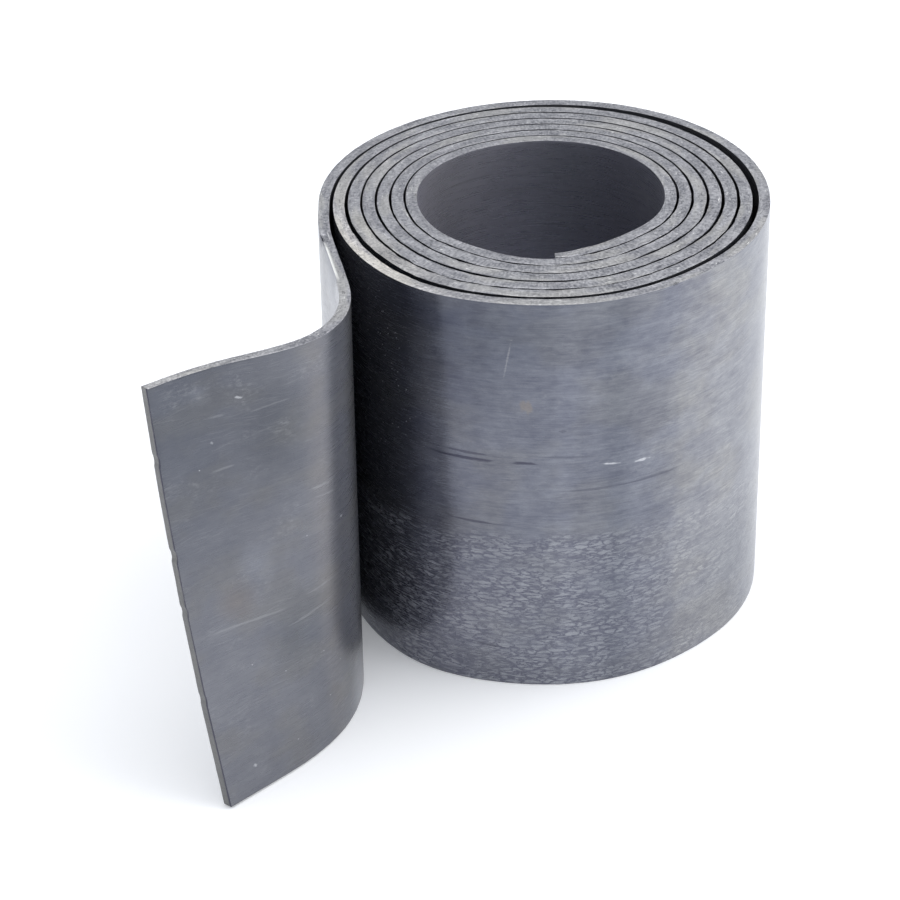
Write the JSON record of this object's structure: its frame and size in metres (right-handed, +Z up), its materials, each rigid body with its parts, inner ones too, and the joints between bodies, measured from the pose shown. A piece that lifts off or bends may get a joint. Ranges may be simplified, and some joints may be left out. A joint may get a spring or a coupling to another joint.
{
  "type": "roll of lead flashing",
  "caption": "Roll of milled lead flashing standing on its end, wound from a soft sheet, with an open bore and its outer end let out and bent back.",
  "frame": {"origin": "middle of the part's box in plan, at the height of the end that the roll stands on", "axes": "+Z up along the roll's bore, -Y towards the side that the let-out end reaches forward to, +X to the right of a viewer who stands there"},
  "size_m": [0.137, 0.1442, 0.1],
  "materials": {
    "lead": "dull satin blue-grey milled lead, brushed along its length, with brighter cut edges"
  },
  "bodies": {
    "root": {"lead_sheet": "lead"}
  },
  "joints": []
}
